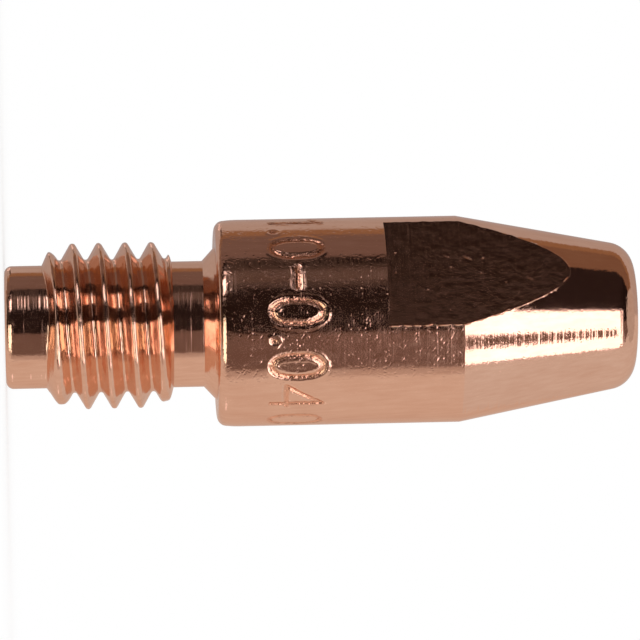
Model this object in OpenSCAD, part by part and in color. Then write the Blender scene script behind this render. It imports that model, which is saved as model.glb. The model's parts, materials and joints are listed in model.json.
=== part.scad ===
// Contact tip of a wire-fed welding torch, turned from one copper bar.
// It stands on its rear face with the nose up. The origin is the centre of the rear face,
// and the two spanner flats face along Y.

/* [Lengths] */
// Length from the rear face to the nose
overall_length = 30; // [28:0.5:45]
// Distance from the rear face to the shoulder that seats on the tip holder
shank_length = 10; // [8:0.25:12]

/* [Pilot] */
// Diameter of the plain pilot at the rear
pilot_d = 5.85; // [4.5:0.05:6]
// Length of the pilot, up to the start of the thread
pilot_length = 1.85; // [1:0.05:3]
// Radius of the rounded rear edge
rear_edge_r = 0.35; // [0.1:0.05:0.8]

/* [Thread] */
// Outside diameter of the right-hand thread
thread_d = 7.9; // [7.5:0.05:8.5]
// Advance of the thread in one turn
thread_pitch = 1.25; // [0.75:0.05:1.3]
// Angle between the flanks of the thread groove
flank_angle = 60; // [50:1:65]
// Turn of the thread groove about the axis
thread_turn = 177; // [0:1:359]
// Diameter to which the first thread rises at once, at the end of the pilot
lead_d = 7.1; // [6.3:0.1:7.4]
// Angle of that first rise, from the axis
lead_angle = 60; // [30:5:75]
// Length of the slow taper from there to the full thread
lead_length = 0.9; // [0.2:0.1:2]

/* [Relief] */
// Diameter of the neck between the thread and the shoulder
relief_d = 6; // [5:0.05:6.1]
// Length of the relief, from the end of the thread to the shoulder
relief_length = 2.05; // [1.8:0.05:3]
// Diameter to which the thread runs out, ahead of the relief
runout_d = 6.95; // [6.3:0.05:7.3]
// Length of the taper from the full thread to there
runout_length = 0.6; // [0.2:0.05:1]
// Angle of the relief's wall below the run-out, from the axis
relief_wall_angle = 75; // [45:5:80]
// Diameter of the large end of the cone between the neck and the shoulder
seat_d = 7.3; // [6.4:0.1:8]
// Length of that cone
seat_length = 0.7; // [0.2:0.05:0.8]

/* [Body] */
// Diameter of the round body
body_d = 9.9; // [9.2:0.1:12]
// Radius of the edge between the shoulder and the body
shoulder_edge_r = 0.45; // [0.1:0.05:0.6]
// Length of the tapered end, measured back from the nose
taper_length = 8.45; // [5:0.05:10]
// Angle of the taper, from the axis
taper_angle = 10.9; // [6:0.1:13]
// Radius of the rounded nose corner
nose_r = 1.3; // [0.3:0.05:1.6]

/* [Spanner flats] */
// Width across the flats
flats_width = 8; // [7.4:0.1:9]
// Distance from the shoulder to the start of the flats
flats_start = 8; // [4:0.25:10]

/* [Wire bore] */
// Diameter of the bore that the wire runs through
bore_d = 1.2; // [0.8:0.05:2]
// Diameter of the funnel mouth at the rear, where the wire is fed in
inlet_d = 3; // [2.2:0.1:4]
// Length of the funnel
inlet_length = 2; // [0.5:0.1:4]
// Chamfer round the bore at the nose
exit_chamfer = 0.15; // [0.05:0.05:0.4]

/* [Hidden] */

copper = "#c98a66";
pilot_r = pilot_d / 2;
thread_r = thread_d / 2;
lead_r = lead_d / 2;
relief_r = relief_d / 2;
runout_r = runout_d / 2;
seat_r = seat_d / 2;
body_r = body_d / 2;
bore_r = bore_d / 2;
inlet_r = inlet_d / 2;

// Places along the axis
lead_top = pilot_length + (lead_r - pilot_r) / tan(lead_angle);
relief_start = shank_length - relief_length;
runout_end = relief_start - (runout_r - relief_r) / tan(relief_wall_angle);
thread_end = runout_end - runout_length;
taper_start = overall_length - taper_length;
nose_centre_z = overall_length - nose_r;
// The nose corner's arc touches both the taper and the end face
taper_at_nose_r = body_r - (taper_length - nose_r * (1 - sin(taper_angle))) * tan(taper_angle);
nose_centre_r = taper_at_nose_r - nose_r * cos(taper_angle);

// Metric groove form: the sharp V of the pitch, with a flat crest and a rounded root
half_flank = flank_angle / 2;
sharp_height = thread_pitch / 2 / tan(half_flank);
crest_cut = sharp_height / 8;
root_r = sharp_height / 6;
vee_tip_r = thread_r + crest_cut - sharp_height;
root_centre_r = vee_tip_r + root_r / sin(half_flank);
groove_top_r = thread_r + crest_cut / 2;
groove_steps = 36;
root_steps = 4;

arc_steps = 8;
round_fn = 96;
overcut = 1;

// Points of an arc in the plane of radius and height
function arc(centre, radius, from, to, steps) = [
    for (i = [0 : steps])
        let (a = from + (to - from) * i / steps)
        centre + radius * [cos(a), sin(a)]
];

// Half section of the turned blank, from the rear face to the nose
function blank_outline() = concat(
    [[0, 0]],
    arc([pilot_r - rear_edge_r, rear_edge_r], rear_edge_r, -90, 0, arc_steps),
    [
        [pilot_r, pilot_length],
        [lead_r, lead_top],
        [thread_r, lead_top + lead_length],
        [thread_r, thread_end],
        [runout_r, runout_end],
        [relief_r, relief_start],
        [relief_r, shank_length - seat_length],
        [seat_r, shank_length]
    ],
    arc([body_r - shoulder_edge_r, shank_length + shoulder_edge_r], shoulder_edge_r, -90, 0, arc_steps),
    [[body_r, taper_start]],
    arc([nose_centre_r, nose_centre_z], nose_r, taper_angle, 90, arc_steps),
    [[0, overall_length]]
);

// Half section of the bore: funnel at the rear, chamfer at the nose
function bore_outline() = let (
    funnel_slope = (inlet_r - bore_r) / inlet_length
) [
    [0, -overcut],
    [inlet_r + funnel_slope * overcut, -overcut],
    [bore_r, inlet_length],
    [bore_r, overall_length - exit_chamfer],
    [bore_r + exit_chamfer + overcut, overall_length + overcut],
    [0, overall_length + overcut]
];

// Section of the thread groove, as radius and offset along the axis
function groove_section() = let (
    top_half = (groove_top_r - vee_tip_r) * tan(half_flank),
    root_half = 90 - half_flank
) concat(
    [[groove_top_r, -top_half]],
    arc([root_centre_r, 0], root_r, 180 + root_half, 180 - root_half, root_steps),
    [[groove_top_r, top_half]]
);

// The groove's section carried along the right-hand helix
function groove_points(section, first_angle, rings) = [
    for (i = [0 : rings])
        let (a = first_angle + 360 * i / groove_steps)
        for (p = section)
            [p[0] * cos(a), p[0] * sin(a), thread_pitch * (a - thread_turn) / 360 + p[1]]
];

// Triangles between two rings, and the two ends
function groove_faces(n, rings) = concat(
    [for (i = [0 : rings - 1], j = [0 : n - 1]) [i * n + j, (i + 1) * n + j, i * n + (j + 1) % n]],
    [
        for (i = [0 : rings - 1], j = [0 : n - 1])
            [(i + 1) * n + j, (i + 1) * n + (j + 1) % n, i * n + (j + 1) % n]
    ],
    [[for (j = [0 : n - 1]) j]],
    [[for (j = [n - 1 : -1 : 0]) rings * n + j]]
);

// Pilot, thread blank, relief, body and tapered nose
module turned_blank() {
    rotate_extrude($fn = round_fn) polygon(blank_outline());
}

// The groove starts beside the pilot and ends over the relief, clear of both
module thread_groove() {
    section = groove_section();
    first_angle = thread_turn + 360 * (pilot_length / thread_pitch - 0.5);
    last_angle = thread_turn + 360 * (relief_start / thread_pitch + 0.5);
    rings = ceil((last_angle - first_angle) / 360 * groove_steps);
    polyhedron(groove_points(section, first_angle, rings), groove_faces(len(section), rings), convexity = 8);
}

// Room milled away outside one flat, from its step to past the nose
module flat_cut() {
    translate([-body_d, flats_width / 2, shank_length + flats_start])
        cube([2 * body_d, body_d, overall_length]);
}

module wire_bore() {
    rotate_extrude($fn = round_fn) polygon(bore_outline());
}

module contact_tip() {
    color(copper) difference() {
        turned_blank();
        thread_groove();
        for (side = [0, 180])
            rotate([0, 0, side]) flat_cut();
        wire_bore();
    }
}

contact_tip();
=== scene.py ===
import json
import math

import bmesh
import bpy
import numpy as np
from mathutils import Matrix, Vector


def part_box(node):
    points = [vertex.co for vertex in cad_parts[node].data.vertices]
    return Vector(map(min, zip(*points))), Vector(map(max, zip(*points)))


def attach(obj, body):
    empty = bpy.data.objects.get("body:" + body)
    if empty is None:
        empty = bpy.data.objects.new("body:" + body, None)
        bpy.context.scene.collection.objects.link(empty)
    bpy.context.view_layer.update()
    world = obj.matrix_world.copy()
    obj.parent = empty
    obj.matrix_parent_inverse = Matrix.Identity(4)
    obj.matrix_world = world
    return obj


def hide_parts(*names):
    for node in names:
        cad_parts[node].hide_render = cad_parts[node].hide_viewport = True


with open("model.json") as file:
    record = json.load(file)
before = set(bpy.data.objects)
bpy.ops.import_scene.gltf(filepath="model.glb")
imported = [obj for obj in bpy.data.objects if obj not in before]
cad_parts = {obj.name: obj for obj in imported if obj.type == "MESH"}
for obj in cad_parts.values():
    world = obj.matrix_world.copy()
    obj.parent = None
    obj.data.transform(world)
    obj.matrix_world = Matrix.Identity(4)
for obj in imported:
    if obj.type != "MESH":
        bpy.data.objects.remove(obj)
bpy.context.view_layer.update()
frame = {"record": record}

# Driving sizes, in millimetres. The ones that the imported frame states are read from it.
# The body is thinner by the stamp's rim, so that the rim stays inside the CAD box.
# The flats lie a little deeper than their mounts, as their outline in the photograph does
MM = 0.001
mounts = {m["name"]: m for m in frame["record"]["mounts"]}
tip_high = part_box("contact_tip")[1]
LENGTH = tip_high.z / MM
STAMP_RIM = 0.02
BODY_R = min(tip_high.x, tip_high.y) / MM - STAMP_RIM
SHOULDER_Z = mounts["shoulder"]["pos_m"][2] / MM
PILOT_R = mounts["pilot"]["dims"]["r_mm"]
BORE_R = mounts["wire_bore"]["dims"]["r_mm"]
FLAT_SINK = 0.06
FLAT_D = abs(mounts["spanner_flat_front"]["pos_m"][1]) / MM - FLAT_SINK

# Pilot and thread. The lead is where the thread rises from the pilot, the run-out where it fades
PILOT_LENGTH = 1.85
REAR_EDGE_R = 0.35
THREAD_R = 3.95
THREAD_PITCH = 1.25
THREAD_TURN = math.radians(177)
THREAD_UNEVEN = 0.012
CREST_R = 0.15
ROOT_R = 0.14
END_ROUND = 0.14
FADE_IN_ROUND = 0.35
FADE_OUT_ROUND = 0.2
WALL_ROUND = 0.3
LEAD_SHIFT = 0.07
LEAD_LATE = 0.25
LEAD_LATE_TURN = math.radians(15)
LEAD_SLOPE = 1.9
LEAD_SLOPE_SWING = 0.3
LEAD_Z = (2.0, 2.7, 3.2)
LEAD_R = (3.56, 3.74, 4.5)
RUNOUT_R = 3.63
RUNOUT_START = 7.0
RUNOUT_STOP = 7.6
RUNOUT_SLOPE = math.tan(math.radians(14))

# Relief, shoulder, taper, flats and bore
RELIEF_R = 3.0
RELIEF_LENGTH = 2.05
RELIEF_WALL_ANGLE = math.radians(75)
SEAT_R = 3.65
SEAT_LENGTH = 0.6
SHOULDER_EDGE_R = 0.45
EDGE_ROLL = 0.035
EDGE_ROLL_LENGTH = 0.6
TAPER_LENGTH = 8.45
TAPER_ANGLE = math.radians(10.9)
NOSE_R = 1.3
FLATS_START = 8.0
INLET_R = 1.5
INLET_LENGTH = 2.0
EXIT_CHAMFER = 0.15

# Ragged edge left by milling the flats
BURR_HEIGHT = 0.07
BURR_WIDTH = 0.07
BURR_SINK = 0.015
BURR_STEP = 0.05
BURR_WANDER = 0.07
BURR_END_GAP = 0.1
EDGE_LIFT = 0.02
EDGE_WANDER = 0.03

# The photograph's camera, fitted to the tip's outline
VIEW_AZIMUTH = math.radians(33.5)
VIEW_YAW = math.radians(2.91)
VIEW_ROLL = math.radians(1.15)
VIEW_DISTANCE = 250.0
VIEW_SCALE = 20.949
VIEW_OFFSET = 0.07
IMAGE_SIZE = 640
SENSOR = 36.0

# Wire size stamped round the body, as plain numbers. The first character's place is counted from the front,
# and the lean is the line's climb along the axis for each millimetre round the body
MARK = "1.0-0.040"
MARK_START = math.radians(72.7)
MARK_Z = 13.73
MARK_LEAN = -0.02
CHAR_HEIGHT = 2.4
CHAR_WIDTH = 1.12
ADVANCE = {"1": 1.16, ".": 0.93, "-": 1.73, "0": 1.69, "4": 2.19}
STROKE_HALF = 0.18
STROKE_WAVER = 0.12
STAMP_DEPTH = 0.12
STAMP_UNEVEN = 0.25
STAMP_MARGIN = 0.5
ZERO_POWER = 0.88
RIM_PLACE = 1.35 * STROKE_HALF
RIM_SPREAD = 0.4 * STROKE_HALF

# Heights of the surface's layers, in micrometres
TURNING_HEIGHT = 6.0
RIDGE_HEIGHT = 20.0
TEARING_HEIGHT = 13.0
DENT_HEIGHT = 26.0
GRAIN_HEIGHT = 2.6
SCRATCH_DEPTH = 4.6
GOUGE_DEPTH = 14.0
MILLING_HEIGHT = 2.0
MOTTLE_HEIGHT = (1.0, 14.0)
STROKE_TEAR_HEIGHT = 45.0

# Soft borders of the layers, in millimetres: the step that their widths are counted in, how far from the
# shoulder the dents fade and the scratches get shallower, and how far from a flat's start its mottling grows
BLEND = 0.05
DENTS_FADE = (0.4, 0.8)
SCRATCHES_FADE = 10.0
MOTTLE_GROWS = (0.8, 1.8)

# Copper's colours and gloss. The taper's roughness is a share of the body's
PALE_COPPER = (0.93, 0.61, 0.455, 1)
DEEP_COPPER = (0.83, 0.505, 0.36, 1)
# Darker, redder copper for the stamped strokes: painted shade in the pressed grooves
STROKE_SHADE_COPPER = (0.85, 0.46, 0.3, 1)
GRAZING_TINT = (0.9, 0.8, 0.74, 1)
ROUGHNESS = (0.1, 0.16)
TAPER_SHARE = 0.68
STROKE_ROUGHNESS = 0.1
CREST_ROUGHNESS = 0.1
THREAD_SPREAD = 0.85

# Derived places along the axis
LEAD_START = PILOT_LENGTH - LEAD_SHIFT
RELIEF_START = SHOULDER_Z - RELIEF_LENGTH
SEAT_START = SHOULDER_Z - SEAT_LENGTH
EDGE_END = SHOULDER_Z + SHOULDER_EDGE_R
MARK_LOW = MARK_Z - CHAR_HEIGHT / 2 - STAMP_MARGIN
MARK_HIGH = MARK_Z + CHAR_HEIGHT / 2 + STAMP_MARGIN
FLATS_Z = SHOULDER_Z + FLATS_START
TAPER_START = LENGTH - TAPER_LENGTH

# Derived thread form: the flanks' slope, and how far along the axis the round crest and root reach
FLANK_SLOPE = math.tan(math.radians(60))
CREST_HALF = CREST_R * math.sin(math.radians(60))
ROOT_HALF = ROOT_R * math.sin(math.radians(60))

# Angle round the axis of the side that faces the camera
FRONT = VIEW_AZIMUTH - math.pi / 2

# Mesh fineness: columns are closer together on the stamped side
STAMP_SIDE = math.radians(170)
STAMP_SIDE_TURN = math.radians(5)
STAMP_COLUMNS = 140
PLAIN_COLUMNS = 52
COLUMNS = STAMP_COLUMNS + PLAIN_COLUMNS
THREAD_ROWS = 136
MARK_ROWS = 58
FLAT_ROWS = 24
TAPER_ROWS = 50
EDGE_ROWS = 12
ROLL_ROWS = 8
NOSE_ROWS = 14
ZERO_POINTS = 49
SHARP_ANGLE = math.radians(8)


def arc(centre, radius, start, end, steps):
    """Points of an arc in the plane of radius and height."""
    angles = np.linspace(math.radians(start), math.radians(end), steps + 1)
    return [(centre[0] + radius * math.cos(a), centre[1] + radius * math.sin(a)) for a in angles]


def line(start, end, steps):
    """Evenly spaced points from start to end, without the end."""
    return [
        (start[0] + (end[0] - start[0]) * i / steps, start[1] + (end[1] - start[1]) * i / steps)
        for i in range(steps)
    ]


def smooth_min(a, b, width):
    """Smaller of two values, with the corner between them rounded."""
    h = np.clip(0.5 + 0.5 * (b - a) / width, 0, 1)
    return b * (1 - h) + a * h - width * h * (1 - h)


def ripple(u, v, frequency):
    """Even-tempered waviness between -1 and 1, from a few crossed sines."""
    a = np.sin(frequency * (2.1 * u + 1.3 * v) + 0.7)
    b = np.sin(frequency * (1.7 * v - 2.9 * u) + 2.1)
    c = np.sin(frequency * (3.7 * u + 4.3 * v) + 4.4)
    return (a + b + c) / 3


def thread_form(from_crest):
    """Radius of the endless thread by the distance along the axis from its crest."""
    from_root = THREAD_PITCH / 2 - from_crest
    crest = THREAD_R - CREST_R + np.sqrt(np.clip(CREST_R ** 2 - from_crest ** 2, 0, None))
    flank = THREAD_R - CREST_R / 2 - (from_crest - CREST_HALF) * FLANK_SLOPE
    flank_foot = THREAD_R - CREST_R / 2 - (THREAD_PITCH / 2 - ROOT_HALF - CREST_HALF) * FLANK_SLOPE
    root = flank_foot + ROOT_R / 2 - np.sqrt(np.clip(ROOT_R ** 2 - from_root ** 2, 0, None))
    return np.select([from_crest < CREST_HALF, from_root < ROOT_HALF], [crest, root], flank)


def lead_radius(theta, z):
    """Radius of the slope up from the pilot, steeper on one side and later on the front."""
    steep = np.cos(theta - FRONT + math.pi / 2)
    late = LEAD_LATE * np.clip(np.cos(theta - FRONT + LEAD_LATE_TURN), 0, None) ** 4
    rise = np.clip(z - PILOT_LENGTH + LEAD_SHIFT * steep - late, 0, None)
    return PILOT_R + rise * (LEAD_SLOPE + LEAD_SLOPE_SWING * steep)


def thread_radius(theta, z):
    """Radius of the threaded shank: right-hand thread with a lead, a fading last turn and a relief wall."""
    helix = (theta - THREAD_TURN) / (2 * math.pi)
    turns = z / THREAD_PITCH - helix
    crest_z = (np.floor(turns) + 0.5 + helix) * THREAD_PITCH
    form = thread_form(np.abs(z - crest_z))
    lead = lead_radius(theta, z)
    fade_in = np.interp(crest_z, LEAD_Z, LEAD_R)
    fade_out = np.interp(crest_z, [RUNOUT_START, RUNOUT_STOP], [LEAD_R[2], RUNOUT_R])
    fade_out = fade_out - (z - crest_z) * RUNOUT_SLOPE * (crest_z > RUNOUT_START)
    wall = RELIEF_R + (RELIEF_START - z) * math.tan(RELIEF_WALL_ANGLE)
    uneven = THREAD_UNEVEN * ripple(theta * THREAD_R, z, 1.9)
    radius = smooth_min(smooth_min(form, fade_in, FADE_IN_ROUND), fade_out, FADE_OUT_ROUND) + uneven
    radius = np.maximum(smooth_min(radius, lead, END_ROUND), np.minimum(lead, PILOT_R))
    return np.maximum(smooth_min(radius, wall, WALL_ROUND), np.minimum(radius, RELIEF_R))


def glyph_strokes(char):
    """Strokes of one stamped character, as points in the unit box; the 4 is wider than the box."""
    if char == "0":
        turn = np.linspace(0, 2 * math.pi, ZERO_POINTS)
        across = 0.5 * np.sign(np.cos(turn)) * np.abs(np.cos(turn)) ** ZERO_POWER
        along = 0.5 * np.sign(np.sin(turn)) * np.abs(np.sin(turn)) ** ZERO_POWER
        return [list(zip(0.5 + across, 0.5 + along))]
    strokes = {
        "1": [[(0.2, 0.8), (0.55, 1.0), (0.55, 0.0)]],
        ".": [[(0.55, 0.02), (0.55, 0.06)]],
        "-": [[(0.05, 0.5), (0.95, 0.5)]],
        "4": [[(0.8, 0.0), (0.8, 1.0), (-0.25, 0.3), (0.95, 0.3)]],
    }
    return strokes[char]


def stroke_distance(u, v, points):
    """Distance from each (u, v) to a chain of points."""
    nearest = np.full(u.shape, 1e9)
    for (x0, y0), (x1, y1) in zip(points[:-1], points[1:]):
        dx, dy = x1 - x0, y1 - y0
        t = np.clip(((u - x0) * dx + (v - y0) * dy) / (dx * dx + dy * dy), 0, 1)
        nearest = np.minimum(nearest, np.hypot(u - x0 - t * dx, v - y0 - t * dy))
    return nearest


def mark_distance(theta, z):
    """Distance on the body's surface from each place to the nearest stamped stroke."""
    distance = np.full(theta.shape, 1e9)
    place = -MARK_START * BODY_R
    for i, char in enumerate(MARK):
        if i:
            place += (ADVANCE[MARK[i - 1]] + ADVANCE[char]) / 2
        turn = theta - FRONT - place / BODY_R
        u = (turn - 2 * math.pi * np.round(turn / (2 * math.pi))) * BODY_R
        for stroke in glyph_strokes(char):
            points = [((x - 0.5) * CHAR_WIDTH, (y - 0.5) * CHAR_HEIGHT) for x, y in stroke]
            v = z - MARK_Z - MARK_LEAN * place
            distance = np.minimum(distance, stroke_distance(u, v, points))
    return distance


def stamped_radius(theta, z):
    """Radius of the body where strokes are pressed in, with the rim that they push up."""
    waver = 1 + STROKE_WAVER * ripple(theta * BODY_R + 3, z, 2.3)
    distance = mark_distance(theta, z) * waver
    groove = -STAMP_DEPTH * np.clip(1 - distance / STROKE_HALF, 0, 1)
    rim = STAMP_RIM * np.exp(-(((distance - RIM_PLACE) / RIM_SPREAD) ** 2))
    pressed = 1 - STAMP_UNEVEN + STAMP_UNEVEN * ripple(theta * BODY_R, z, 3.5)
    return BODY_R + (groove + rim) * pressed


def column_angles(fineness):
    """Angles of the columns, starting at the stamped side's far end."""
    stamped = np.arange(STAMP_COLUMNS * fineness) / (STAMP_COLUMNS * fineness)
    plain = np.arange(PLAIN_COLUMNS * fineness) / (PLAIN_COLUMNS * fineness)
    start = FRONT - STAMP_SIDE / 2 - STAMP_SIDE_TURN
    return start + np.concatenate([stamped * STAMP_SIDE, STAMP_SIDE + plain * (2 * math.pi - STAMP_SIDE)])


def ring(radius, z, columns=COLUMNS):
    """One row of points round the axis; radius may be a function of the angle and the height."""
    theta = column_angles(columns // COLUMNS)
    radius = radius(theta, np.full(columns, z)) if callable(radius) else np.full(columns, radius)
    return np.stack([radius * np.cos(theta), radius * np.sin(theta), np.full(columns, z)], 1)


def pilot_outline():
    """From the funnel's mouth over the rounded rear edge to the start of the thread."""
    points = line((INLET_R, 0), (PILOT_R - REAR_EDGE_R, 0), 4)
    points += arc((PILOT_R - REAR_EDGE_R, REAR_EDGE_R), REAR_EDGE_R, -90, 0, EDGE_ROWS)[:-1]
    points += line((PILOT_R, REAR_EDGE_R), (PILOT_R, LEAD_START), 4)
    return points


def neck_outline():
    """From the relief over the seat cone, the shoulder and its rolled-off edge to the stamped band."""
    edge_centre = (BODY_R - EDGE_ROLL - SHOULDER_EDGE_R, EDGE_END)
    points = line((RELIEF_R, RELIEF_START), (RELIEF_R, SEAT_START), 4)
    points += line((RELIEF_R, SEAT_START), (SEAT_R, SHOULDER_Z), 3)
    points += line((SEAT_R, SHOULDER_Z), (edge_centre[0], SHOULDER_Z), 3)
    points += arc(edge_centre, SHOULDER_EDGE_R, -90, 0, EDGE_ROWS)[:-1]
    for t in np.linspace(0, 1, ROLL_ROWS + 1)[:-1]:
        points.append((BODY_R - EDGE_ROLL * (1 - t) ** 2, EDGE_END + t * EDGE_ROLL_LENGTH))
    points += line((BODY_R, EDGE_END + EDGE_ROLL_LENGTH), (BODY_R, MARK_LOW), 3)
    return points


def nose_outline():
    """From the stamped band over the taper and the nose, and back through the bore to the funnel."""
    nose_tangent = BODY_R - (TAPER_LENGTH - NOSE_R * (1 - math.sin(TAPER_ANGLE))) * math.tan(TAPER_ANGLE)
    nose_centre = (nose_tangent - NOSE_R * math.cos(TAPER_ANGLE), LENGTH - NOSE_R)
    nose_arc = arc(nose_centre, NOSE_R, math.degrees(TAPER_ANGLE), 90, NOSE_ROWS)
    before_flats = FLATS_Z - 0.1
    points = line((BODY_R, MARK_HIGH), (BODY_R, before_flats), 5)[1:]
    points += line((BODY_R, before_flats), (BODY_R, TAPER_START), FLAT_ROWS)
    points += line((BODY_R, TAPER_START), nose_arc[0], TAPER_ROWS)
    points += nose_arc[:-1]
    points += line(nose_arc[-1], (BORE_R + EXIT_CHAMFER, LENGTH), 4)
    points += line((BORE_R + EXIT_CHAMFER, LENGTH), (BORE_R, LENGTH - EXIT_CHAMFER), 2)
    points += line((BORE_R, LENGTH - EXIT_CHAMFER), (BORE_R, INLET_LENGTH), 4)
    points += line((BORE_R, INLET_LENGTH), (INLET_R, 0), 3)
    return points


def tip_rows():
    """Rows of points from the funnel's mouth, along the outside to the nose and back down the bore."""
    thread_z = np.linspace(LEAD_START, RELIEF_START, THREAD_ROWS + 1)[:-1]
    mark_z = np.linspace(MARK_LOW, MARK_HIGH, MARK_ROWS + 1)
    rows = [ring(r, z) for r, z in pilot_outline()]
    rows += [ring(thread_radius, z) for z in thread_z]
    rows += [ring(r, z) for r, z in neck_outline()]
    rows += [ring(stamped_radius, z, 2 * COLUMNS) for z in mark_z]
    rows += [ring(r, z) for r, z in nose_outline()]
    return rows


def ring_faces(first, count_a, second, count_b):
    """Faces between two neighbouring rows, which may differ in fineness by two."""
    if count_a == count_b:
        return [
            (first + i, first + (i + 1) % count_a, second + (i + 1) % count_b, second + i)
            for i in range(count_a)
        ]
    faces = []
    for i in range(min(count_a, count_b)):
        if count_a < count_b:
            a, b = first + i, first + (i + 1) % count_a
            m = [second + (2 * i + k) % count_b for k in range(3)]
            faces += [(a, m[1], m[0]), (a, b, m[1]), (b, m[2], m[1])]
        else:
            a, b = second + i, second + (i + 1) % count_b
            m = [first + (2 * i + k) % count_a for k in range(3)]
            faces += [(m[0], m[1], a), (m[1], b, a), (m[1], m[2], b)]
    return faces


def tip_mesh():
    """The whole tip without its flats, closed through the bore."""
    rows = tip_rows()
    starts = np.cumsum([0] + [len(r) for r in rows])
    faces = []
    for k, row in enumerate(rows):
        n = (k + 1) % len(rows)
        faces += ring_faces(int(starts[k]), len(row), int(starts[n]), len(rows[n]))
    mesh = bpy.data.meshes.new("contact_tip_copper")
    mesh.from_pydata((np.concatenate(rows) * MM).tolist(), [], faces)
    return mesh


def add_object(name, mesh):
    obj = bpy.data.objects.new(name, mesh)
    bpy.context.scene.collection.objects.link(obj)
    return obj


def flat_cutter(side):
    """Block that clears the room outside one spanner flat."""
    size = Vector((4 * BODY_R, 2 * BODY_R, 2 * LENGTH)) * MM
    place = Vector((0, side * (FLAT_D + BODY_R), FLATS_Z + LENGTH)) * MM
    bm = bmesh.new()
    bmesh.ops.create_cube(bm, size=1, matrix=Matrix.LocRotScale(place, None, size))
    mesh = bpy.data.meshes.new("flat_cutter")
    bm.to_mesh(mesh)
    bm.free()
    return add_object("flat_cutter", mesh)


def cut_flats(obj):
    """Cut both spanner flats and keep the result as the object's own mesh."""
    cutters = [flat_cutter(side) for side in (-1, 1)]
    for cutter in cutters:
        cut = obj.modifiers.new("flat", "BOOLEAN")
        cut.operation = "DIFFERENCE"
        cut.solver = "EXACT"
        cut.object = cutter
    cooked = obj.evaluated_get(bpy.context.evaluated_depsgraph_get())
    obj.data = bpy.data.meshes.new_from_object(cooked)
    obj.data.name = "contact_tip_copper"
    obj.modifiers.clear()
    for cutter in cutters:
        bpy.data.objects.remove(cutter)


def roughen_flat_edges(obj):
    """Lift and wander along the milled edges of the flats."""
    close = 1e-4
    for vert in obj.data.vertices:
        x, y, z = (c / MM for c in vert.co)
        if abs(abs(y) - FLAT_D) > close or z < FLATS_Z + close:
            continue
        side = 1 if y > 0 else -1
        lift = max(0.0, float(ripple(z, x + side, 2.2)))
        shift = float(ripple(z + 5 * side, x * 0.2, 2.7))
        vert.co.y += side * EDGE_LIFT * lift * MM
        vert.co.x += math.copysign(EDGE_WANDER, x) * shift * MM


def burr_section(side, z):
    """Three corners of the burr's ridge at one place: on the flat, on top and on the round side."""
    radius = BODY_R - max(0.0, z - TAPER_START) * math.tan(TAPER_ANGLE)
    edge = Vector((-side * math.sqrt(radius ** 2 - FLAT_D ** 2), side * FLAT_D, z))
    outward = Vector((edge.x, edge.y, 0)).normalized()
    along_round = Vector((0, 0, side if edge.x < 0 else -side)).cross(outward)
    if along_round.y * side > 0:
        along_round.negate()
    flat_normal = Vector((0, side, 0))
    inward = Vector((-math.copysign(1, edge.x), 0, 0))
    height = BURR_HEIGHT * max(0.1, 0.4 + 0.8 * float(ripple(z, side, 3.6)))
    edge += inward * BURR_WANDER * max(0.0, float(ripple(z + 2, side, 2.4)))
    foot_flat = edge + inward * BURR_WIDTH - flat_normal * BURR_SINK
    foot_round = edge + along_round * BURR_WIDTH - outward * BURR_SINK
    return [foot_flat, edge + (outward + flat_normal).normalized() * height, foot_round]


def add_burrs(obj):
    """Thin ragged ridge that milling pushes up along one edge of each flat."""
    start = FLATS_Z + BURR_END_GAP
    stop = TAPER_START + (BODY_R - FLAT_D) / math.tan(TAPER_ANGLE) - BURR_END_GAP
    bm = bmesh.new()
    bm.from_mesh(obj.data)
    for side in (-1, 1):
        rows = []
        for z in np.arange(start, stop, BURR_STEP):
            rows.append([bm.verts.new(corner * MM) for corner in burr_section(side, float(z))])
        made = [bm.faces.new(rows[0]), bm.faces.new(rows[-1])]
        for low, high in zip(rows[:-1], rows[1:]):
            made += [bm.faces.new((low[i], low[(i + 1) % 3], high[(i + 1) % 3], high[i])) for i in range(3)]
        bmesh.ops.recalc_face_normals(bm, faces=made)
    bm.to_mesh(obj.data)
    bm.free()


def note_stamped(obj):
    """Store how deep each point of the stamped band lies, for the material, which also paints shade into the
    strokes.
    """
    depth = obj.data.attributes.new("stamped", "FLOAT", "POINT")
    for i, vert in enumerate(obj.data.vertices):
        x, y, z = (c / MM for c in vert.co)
        if MARK_LOW < z < MARK_HIGH:
            depth.data[i].value = min(1.0, max(0.0, (BODY_R - math.hypot(x, y)) / STAMP_DEPTH))


def set_shading(obj):
    """Smooth everywhere but at the turned and milled edges."""
    bm = bmesh.new()
    bm.from_mesh(obj.data)
    for face in bm.faces:
        face.smooth = True
    for edge in bm.edges:
        z = (edge.verts[0].co.z + edge.verts[1].co.z) / 2 / MM
        in_thread = LEAD_START * 1.001 < z < RELIEF_START * 0.999
        in_mark = MARK_LOW < z < MARK_HIGH
        if not (in_thread or in_mark) and edge.calc_face_angle(0) > SHARP_ANGLE:
            edge.smooth = False
    bm.to_mesh(obj.data)
    bm.free()


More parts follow.
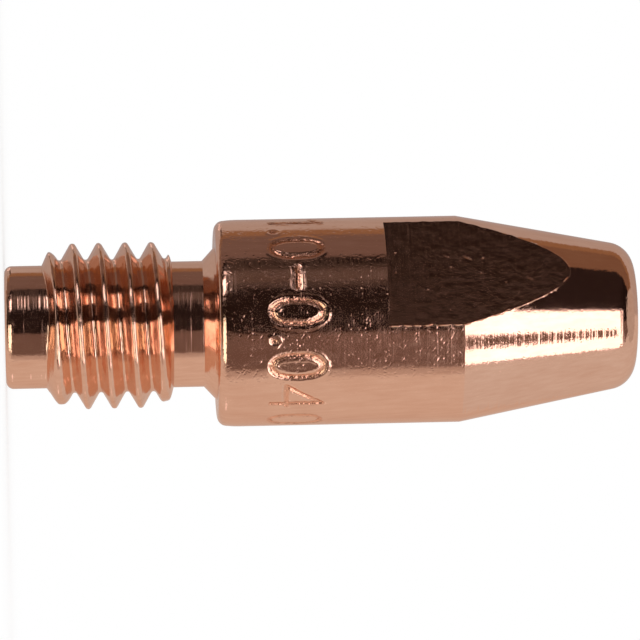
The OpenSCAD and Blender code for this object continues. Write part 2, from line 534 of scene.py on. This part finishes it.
class NodeTree:
    """Short ways to add and join a material's nodes, with places along the tip's axis."""

    def __init__(self, mat):
        mat.use_nodes = True
        self.nodes = mat.node_tree.nodes
        self.links = mat.node_tree.links
        self.place = self.add("ShaderNodeTexCoord").outputs["Object"]
        split = self.add("ShaderNodeSeparateXYZ")
        self.feed(split.inputs["Vector"], self.place)
        self.x, self.y, self.z = split.outputs

    def add(self, kind, **settings):
        node = self.nodes.new(kind)
        for key, value in settings.items():
            setattr(node, key, value)
        return node

    def feed(self, socket, source):
        if isinstance(source, bpy.types.NodeSocket):
            self.links.new(source, socket)
        else:
            socket.default_value = source

    def math(self, operation, *sources):
        node = self.add("ShaderNodeMath", operation=operation)
        for i, source in enumerate(sources):
            self.feed(node.inputs[i], source)
        return node.outputs[0]

    def product(self, first, *others):
        for other in others:
            first = self.math("MULTIPLY", first, other)
        return first

    def total(self, first, *others):
        for other in others:
            first = self.math("ADD", first, other)
        return first

    def mix(self, factor, first, second):
        """Colour between two colours, which may be sockets or plain values."""
        node = self.add("ShaderNodeMix", data_type="RGBA")
        self.feed(node.inputs["Factor"], factor)
        sockets = [i for i in node.inputs if i.type == "RGBA"]
        self.feed(sockets[0], first)
        self.feed(sockets[1], second)
        return [o for o in node.outputs if o.type == "RGBA"][0]

    def ramp(self, source, low, high, out_low=0.0, out_high=1.0):
        node = self.add("ShaderNodeMapRange")
        self.feed(node.inputs["Value"], source)
        node.inputs["From Min"].default_value = low
        node.inputs["From Max"].default_value = high
        node.inputs["To Min"].default_value = out_low
        node.inputs["To Max"].default_value = out_high
        return node.outputs["Result"]

    def along(self, low, high, out_low=0.0, out_high=1.0):
        """Ramp between two places along the axis, in millimetres."""
        return self.ramp(self.z, low * MM, high * MM, out_low, out_high)

    def stretched(self, scale, turn):
        """Place in cells: a number of cells per millimetre along each turned axis."""
        mapping = self.add("ShaderNodeMapping", vector_type="TEXTURE")
        self.feed(mapping.inputs["Vector"], self.place)
        mapping.inputs["Rotation"].default_value = [math.radians(a) for a in turn]
        mapping.inputs["Scale"].default_value = [MM / c for c in scale]
        return mapping.outputs["Vector"]

    def noise(self, scale, turn=(0, 0, 0), detail=2.0):
        node = self.add("ShaderNodeTexNoise")
        self.feed(node.inputs["Vector"], self.stretched(scale, turn))
        node.inputs["Scale"].default_value = 1.0
        node.inputs["Detail"].default_value = detail
        return node.outputs["Fac"]

    def marks(self, scale, turn, reach, keep):
        """Separate dashes or pits: 1 at the middle of each mark, 0 outside; only some cells keep theirs."""
        cells = self.add("ShaderNodeTexVoronoi")
        self.feed(cells.inputs["Vector"], self.stretched(scale, turn))
        cells.inputs["Scale"].default_value = 1.0
        kept = self.math("LESS_THAN", cells.outputs["Color"], keep)
        return self.product(self.ramp(cells.outputs["Distance"], 0.0, reach, 1.0, 0.0), kept)


def surface_zones(tree):
    """Masks that several layers share: 1 inside the zone, 0 outside."""
    past_pilot = tree.along(PILOT_LENGTH - BLEND, PILOT_LENGTH + BLEND)
    past_thread = tree.along(RELIEF_START - BLEND, RELIEF_START + BLEND)
    off_axis = tree.math("GREATER_THAN", tree.math("ABSOLUTE", tree.y), (FLAT_D - 0.01) * MM)
    return {
        "past_thread": past_thread,
        "past_body": tree.along(TAPER_START - BLEND, TAPER_START + 3 * BLEND),
        "on_thread": tree.product(past_pilot, tree.ramp(past_thread, 0, 1, 1.0, 0.0)),
        "on_flat": tree.product(off_axis, tree.math("GREATER_THAN", tree.z, FLATS_Z * MM)),
        "stamped": tree.add("ShaderNodeAttribute", attribute_name="stamped").outputs["Fac"],
    }


def turned_heights(tree, zones):
    """Fine turning lines, coarse ridges on the pilot and the neck, and torn streaks on the thread."""
    coarser = tree.ramp(zones["past_thread"], 0, 1, 1.3, 1.0)
    on_taper = tree.ramp(zones["past_body"], 0, 1, 1.0, 1.4)
    on_pilot = tree.along(PILOT_LENGTH + BLEND, PILOT_LENGTH - 3 * BLEND)
    on_neck = tree.product(zones["past_thread"], tree.along(SEAT_START, SEAT_START - 2 * BLEND, 0.0, 0.6))
    ridged = tree.total(on_pilot, on_neck)
    turning = tree.product(tree.noise((0.15, 0.15, 6)), TURNING_HEIGHT, coarser, on_taper)
    ridges = tree.product(tree.noise((0.1, 0.1, 7), detail=1), ridged, RIDGE_HEIGHT)
    tearing = tree.product(tree.noise((1.0, 1.0, 9), detail=3), zones["on_thread"], TEARING_HEIGHT)
    return [turning, ridges, tearing]


def dent_heights(tree):
    """Dents on the rounded edges of the shoulder and the rear, and a fine grain everywhere."""
    on_shoulder = tree.product(
        tree.along(SHOULDER_Z - 2 * BLEND, SHOULDER_Z),
        tree.along(SHOULDER_Z + DENTS_FADE[1], SHOULDER_Z + DENTS_FADE[0]),
    )
    on_rear = tree.along(REAR_EDGE_R + 3 * BLEND, REAR_EDGE_R)
    on_edges = tree.total(on_shoulder, on_rear)
    dents = tree.product(tree.noise((2.6, 2.6, 2.6), detail=3), on_edges, DENT_HEIGHT)
    return [dents, tree.product(tree.noise((5, 5, 5)), GRAIN_HEIGHT)]


def scratch_heights(tree, zones):
    """Pits and short scratches from handling, in clumps, mostly on the round body."""
    clumps = tree.ramp(tree.noise((0.45, 0.45, 0.45)), 0.35, 0.62, 0.7, 1.0)
    on_body = tree.product(
        tree.along(TAPER_START + 3 * BLEND, TAPER_START - 3 * BLEND, 0.4, 1.0),
        tree.along(SHOULDER_Z - 2 * BLEND, SHOULDER_Z + 4 * BLEND, 0.1, 1.0),
    )
    off_flat = tree.ramp(zones["on_flat"], 0, 1, 1.0, 0.25)
    deeper = tree.along(SHOULDER_Z, SHOULDER_Z + SCRATCHES_FADE, 1.5, 0.8)
    scratches = tree.marks((4.5, 4.5, 4.5), (10, 20, 30), 0.4, 0.14)
    for scale, turn in [
        ((1.6, 6, 6), (20, 35, 60)),
        ((6, 1.8, 6), (50, -25, 10)),
        ((6, 6, 1.5), (25, 15, 80)),
        ((5, 0.9, 5), (-30, 40, 20)),
    ]:
        scratches = tree.total(scratches, tree.marks(scale, turn, 0.35, 0.42))
    return [tree.product(scratches, clumps, on_body, off_flat, deeper, -SCRATCH_DEPTH)]


def flat_heights(tree, zones):
    """Gouges, milling lines and mottling on the flats; their first stretch is smoother."""
    gouges = tree.marks((0.6, 5, 5), (15, 25, 75), 0.3, 0.12)
    gouges = tree.total(gouges, tree.marks((5, 5, 0.7), (10, 30, 5), 0.3, 0.12))
    milling = tree.noise((0.4, 0.4, 9), (0, 6, 0))
    past_step = tree.along(FLATS_Z + MOTTLE_GROWS[0], FLATS_Z + MOTTLE_GROWS[1], *MOTTLE_HEIGHT)
    mottle = tree.product(tree.noise((2.2, 2.2, 2.2), detail=4), past_step)
    layers = [tree.product(gouges, -GOUGE_DEPTH), tree.product(milling, MILLING_HEIGHT), mottle]
    return [tree.product(layer, zones["on_flat"]) for layer in layers]


def stamp_heights(tree, zones):
    """Torn metal inside the stamped strokes."""
    inside = tree.ramp(zones["stamped"], 0.02, 0.3)
    return [tree.product(tree.noise((5, 5, 5), detail=3), inside, STROKE_TEAR_HEIGHT)]


def surface_bumps(tree, zones):
    """Normal from all the layers' heights, which are in micrometres."""
    heights = turned_heights(tree, zones) + dent_heights(tree) + scratch_heights(tree, zones)
    heights += flat_heights(tree, zones) + stamp_heights(tree, zones)
    bump = tree.add("ShaderNodeBump")
    bump.inputs["Strength"].default_value = 1.0
    bump.inputs["Distance"].default_value = 0.001 * MM
    tree.feed(bump.inputs["Height"], tree.total(*heights))
    return bump.outputs["Normal"]


def copper_colour(tree, zones):
    """Uneven patches with faint streaks along the axis, and darker, redder copper in the stamped strokes as
    painted shade in their grooves.
    """
    patches = tree.noise((0.9, 0.9, 0.5), detail=5)
    streaks = tree.noise((4.5, 4.5, 0.6), (4, 3, 0), 3)
    uneven = tree.ramp(tree.total(patches, streaks), 0.6, 1.4)
    bare = tree.mix(uneven, PALE_COPPER, DEEP_COPPER)
    # The stamped strokes get darker, redder copper: painted shade in their grooves
    return tree.mix(tree.ramp(zones["stamped"], 0.05, 0.4), bare, STROKE_SHADE_COPPER)


def set_gloss(tree, bsdf, zones):
    """Patchy polish, smoother on the taper, duller in the strokes and on the crests, spread on the thread."""
    on_cone = tree.product(zones["past_body"], tree.ramp(zones["on_flat"], 0, 1, 1.0, 0.0))
    patchy = tree.ramp(tree.noise((2.5, 2.5, 2.5), detail=3), 0.3, 0.7, *ROUGHNESS)
    polish = tree.product(patchy, tree.ramp(on_cone, 0, 1, 1.0, TAPER_SHARE))
    in_strokes = tree.ramp(zones["stamped"], 0.05, 0.35, 0.0, STROKE_ROUGHNESS)
    from_axis = tree.math("SQRT", tree.total(tree.product(tree.x, tree.x), tree.product(tree.y, tree.y)))
    on_crest = tree.ramp(from_axis, (THREAD_R - CREST_R) * MM, THREAD_R * MM, 0.0, CREST_ROUGHNESS)
    dull_crest = tree.product(on_crest, zones["on_thread"])
    around = tree.add("ShaderNodeTangent", direction_type="RADIAL", axis="Z")
    tree.feed(bsdf.inputs["Roughness"], tree.total(polish, in_strokes, dull_crest))
    tree.feed(bsdf.inputs["Tangent"], around.outputs["Tangent"])
    tree.feed(bsdf.inputs["Anisotropic"], tree.product(zones["on_thread"], THREAD_SPREAD))
    bsdf.inputs["Anisotropic Rotation"].default_value = 0.25


def copper_material():
    mat = bpy.data.materials.new("turned_copper")
    tree = NodeTree(mat)
    zones = surface_zones(tree)
    bsdf = tree.nodes["Principled BSDF"]
    bsdf.inputs["Metallic"].default_value = 1.0
    bsdf.inputs["Specular Tint"].default_value = GRAZING_TINT
    tree.feed(bsdf.inputs["Base Color"], copper_colour(tree, zones))
    tree.feed(bsdf.inputs["Normal"], surface_bumps(tree, zones))
    set_gloss(tree, bsdf, zones)
    return mat


def emission_material(name, colour, strength):
    mat = bpy.data.materials.new(name)
    mat.use_nodes = True
    nodes, links = mat.node_tree.nodes, mat.node_tree.links
    nodes.clear()
    out = nodes.new("ShaderNodeOutputMaterial")
    light = nodes.new("ShaderNodeEmission")
    light.inputs["Color"].default_value = (*colour, 1)
    light.inputs["Strength"].default_value = strength
    links.new(light.outputs["Emission"], out.inputs["Surface"])
    mat.cycles.emission_sampling = "NONE"
    return mat


def reflection_only(obj):
    obj.visible_camera = False
    obj.visible_diffuse = False
    obj.visible_shadow = False
    obj.visible_transmission = False
    obj.visible_volume_scatter = False


def card(name, around, up, colour, strength=1.0, radius=200.0):
    """Curved studio card round the tip, seen only in reflections.

    around: degrees from the camera's side towards the photograph's top.
    up: degrees above the tip's middle, towards the nose.
    radius: millimetres from the tip's middle; a nearer card hides what is behind it.
    """
    cell_degrees = 3
    steps_a = max(2, int(abs(around[1] - around[0]) / cell_degrees))
    steps_e = max(2, int(abs(up[1] - up[0]) / cell_degrees))
    points = []
    for e in np.radians(np.linspace(up[0], up[1], steps_e + 1)):
        for a in FRONT - np.radians(np.linspace(around[0], around[1], steps_a + 1)):
            flat = radius * math.cos(e)
            points.append((flat * math.cos(a), flat * math.sin(a), LENGTH / 2 + radius * math.sin(e)))
    n = steps_a + 1
    faces = [
        (j * n + i, j * n + i + 1, (j + 1) * n + i + 1, (j + 1) * n + i)
        for j in range(steps_e)
        for i in range(steps_a)
    ]
    mesh = bpy.data.meshes.new(name)
    mesh.from_pydata([tuple(c * MM for c in p) for p in points], [], faces)
    mesh.materials.append(emission_material(name, colour, strength))
    reflection_only(add_object(name, mesh))


def make_walls():
    """Walls and caps all round the tip, by the angle round it, with panels in front of them."""
    all_round = (-180, 180)
    tall = (-68, 68)
    high = (15, 68)
    band = (-8, 15)
    grey = (0.5, 0.44, 0.41)
    brown = (0.055, 0.04, 0.036)
    card("front_wall", (-12, 76), tall, (0.015, 0.009, 0.008))
    card("front_high", (-12, 76), (17, 45), (0.024, 0.0155, 0.0145), radius=197)
    card("front_band", (38, 66), band, brown, radius=197)
    card("front_band_top", (64, 76), (-8, 2.6), brown, radius=196)
    card("front_band_core", (45, 60), band, (0.1, 0.072, 0.064), radius=195)
    card("bench_wall", (-55, -12), tall, (0.155, 0.102, 0.087))
    card("bench_edge", (-63, -54), tall, (0.5, 0.4, 0.36), radius=198)
    card("ceiling_wall", (76, 112), tall, (0.175, 0.12, 0.105))
    card("ceiling_high", (76, 112), high, (0.2, 0.115, 0.075), radius=198)
    card("warm_wall", (112, 124), tall, (0.28, 0.16, 0.09))
    card("top_wall", (124, 180), tall, (0.48, 0.435, 0.43))
    card("bottom_wall", (-180, -55), tall, (0.68, 0.575, 0.515))
    card("bottom_high", (-180, -55), high, (0.66, 0.6, 0.57), radius=197)
    card("nose_cap", all_round, (68, 90), grey)
    card("rear_cap", all_round, (-90, -68), grey)
    card("rear_cap_front", (-12, 76), (-90, -68), (0.05, 0.033, 0.027), radius=198)
    card("rear_cap_low", (-55, -12), (-90, -68), (0.3, 0.19, 0.13), radius=198)


def make_lamps():
    """Lamps in front of the walls: strips, and lamps with dimmer rims."""
    lamp = (1.0, 0.84, 0.86)
    low = (-20, -11)
    # Low strips behind the tip, which its other sides reflect
    card("back_dark", (118, 140), low, (0.13, 0.09, 0.077), radius=196)
    card("back_lamp", (143, 154), low, lamp, 1.3, 196)
    card("under_lamp", (-114, -101), low, lamp, 1.2, 196)
    # Strip that the body's scratches catch
    card("scratch_lamp", (26, 58), (11, 16), lamp, 1.2, 193)
    # Lamp on the nose's side, with a dark streak across it
    card("nose_lamp", (-54, 7), (12, 43), lamp, 2.6, 190)
    card("nose_lamp_rim", (-55, 8.5), (11, 46), lamp, 1.4, 192)
    card("nose_lamp_edge", (-56.5, 10.5), (10, 50), lamp, 0.5, 194)
    card("nose_lamp_gap", (-37, -19.5), (24.0, 28.3), (0.13, 0.084, 0.068), radius=185)
    card("nose_lamp_gap_end", (-33.5, -22.5), (28.3, 31.3), (0.2, 0.13, 0.1), radius=185)
    # Lamps on the thread's side
    card("rear_lamp_low", (-50, 3), (-56, -24), (1.0, 0.945, 0.81), 2.1, 190)
    card("rear_lamp_high", (38, 56), (-43, -12), lamp, 2.6, 190)
    card("rear_lamp_high_rim", (36, 58), (-46, -9), lamp, 1.0, 192)
    card("rear_lamp_high_edge", (33, 61), (-50, -6), lamp, 0.3, 194)


def floor_material():
    """Pale floor that glows half by itself, so that it is white and still shows the tip's shadow."""
    half = (0.5, 0.5, 0.5, 1)
    mat = bpy.data.materials.new("pale_floor")
    mat.use_nodes = True
    nodes, links = mat.node_tree.nodes, mat.node_tree.links
    nodes.clear()
    out = nodes.new("ShaderNodeOutputMaterial")
    add = nodes.new("ShaderNodeAddShader")
    lit = nodes.new("ShaderNodeBsdfDiffuse")
    own = nodes.new("ShaderNodeEmission")
    lit.inputs["Color"].default_value = half
    own.inputs["Color"].default_value = half
    links.new(lit.outputs["BSDF"], add.inputs[0])
    links.new(own.outputs["Emission"], add.inputs[1])
    links.new(add.outputs["Shader"], out.inputs["Surface"])
    mat.cycles.emission_sampling = "NONE"
    return mat


def make_floor():
    bm = bmesh.new()
    bmesh.ops.create_grid(bm, x_segments=1, y_segments=1, size=2.0)
    mesh = bpy.data.meshes.new("floor")
    bm.to_mesh(mesh)
    bm.free()
    mesh.materials.append(floor_material())
    floor = add_object("floor", mesh)
    floor.visible_glossy = False


def make_world():
    world = bpy.data.worlds.new("studio")
    bpy.context.scene.world = world
    world.use_nodes = True
    background = world.node_tree.nodes["Background"]
    background.inputs["Color"].default_value = (1, 1, 1, 1)
    background.inputs["Strength"].default_value = 1.0


def make_camera():
    """Camera of the photograph, with the tip lying across the picture, nose to the right."""
    front = Vector((math.cos(FRONT), math.sin(FRONT), 0))
    along = Vector((0, 0, 1))
    back = front * math.cos(VIEW_YAW) - along * math.sin(VIEW_YAW)
    right = along * math.cos(VIEW_YAW) + front * math.sin(VIEW_YAW)
    up = back.cross(right)
    turned_right = right * math.cos(VIEW_ROLL) - up * math.sin(VIEW_ROLL)
    turned_up = right * math.sin(VIEW_ROLL) + up * math.cos(VIEW_ROLL)
    aim = Vector((0, 0, LENGTH / 2)) + turned_up * VIEW_OFFSET
    place = (aim + back * VIEW_DISTANCE) * MM
    data = bpy.data.cameras.new("camera")
    data.sensor_width = SENSOR
    data.lens = SENSOR * VIEW_SCALE * VIEW_DISTANCE / IMAGE_SIZE
    data.clip_start = 0.01
    data.clip_end = 10
    cam = bpy.data.objects.new("camera", data)
    bpy.context.scene.collection.objects.link(cam)
    axes = Matrix((turned_right, turned_up, back)).transposed()
    cam.matrix_world = Matrix.Translation(place) @ axes.to_4x4()
    bpy.context.scene.camera = cam


tip = add_object("contact_tip_copper", tip_mesh())
cut_flats(tip)
roughen_flat_edges(tip)
add_burrs(tip)
note_stamped(tip)
set_shading(tip)
tip.data.materials.clear()
tip.data.materials.append(copper_material())
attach(tip, "root")
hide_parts("contact_tip")

make_floor()
make_walls()
make_lamps()
make_world()
make_camera()
bpy.context.scene.view_settings.view_transform = "Standard"

bpy.context.view_layer.update()
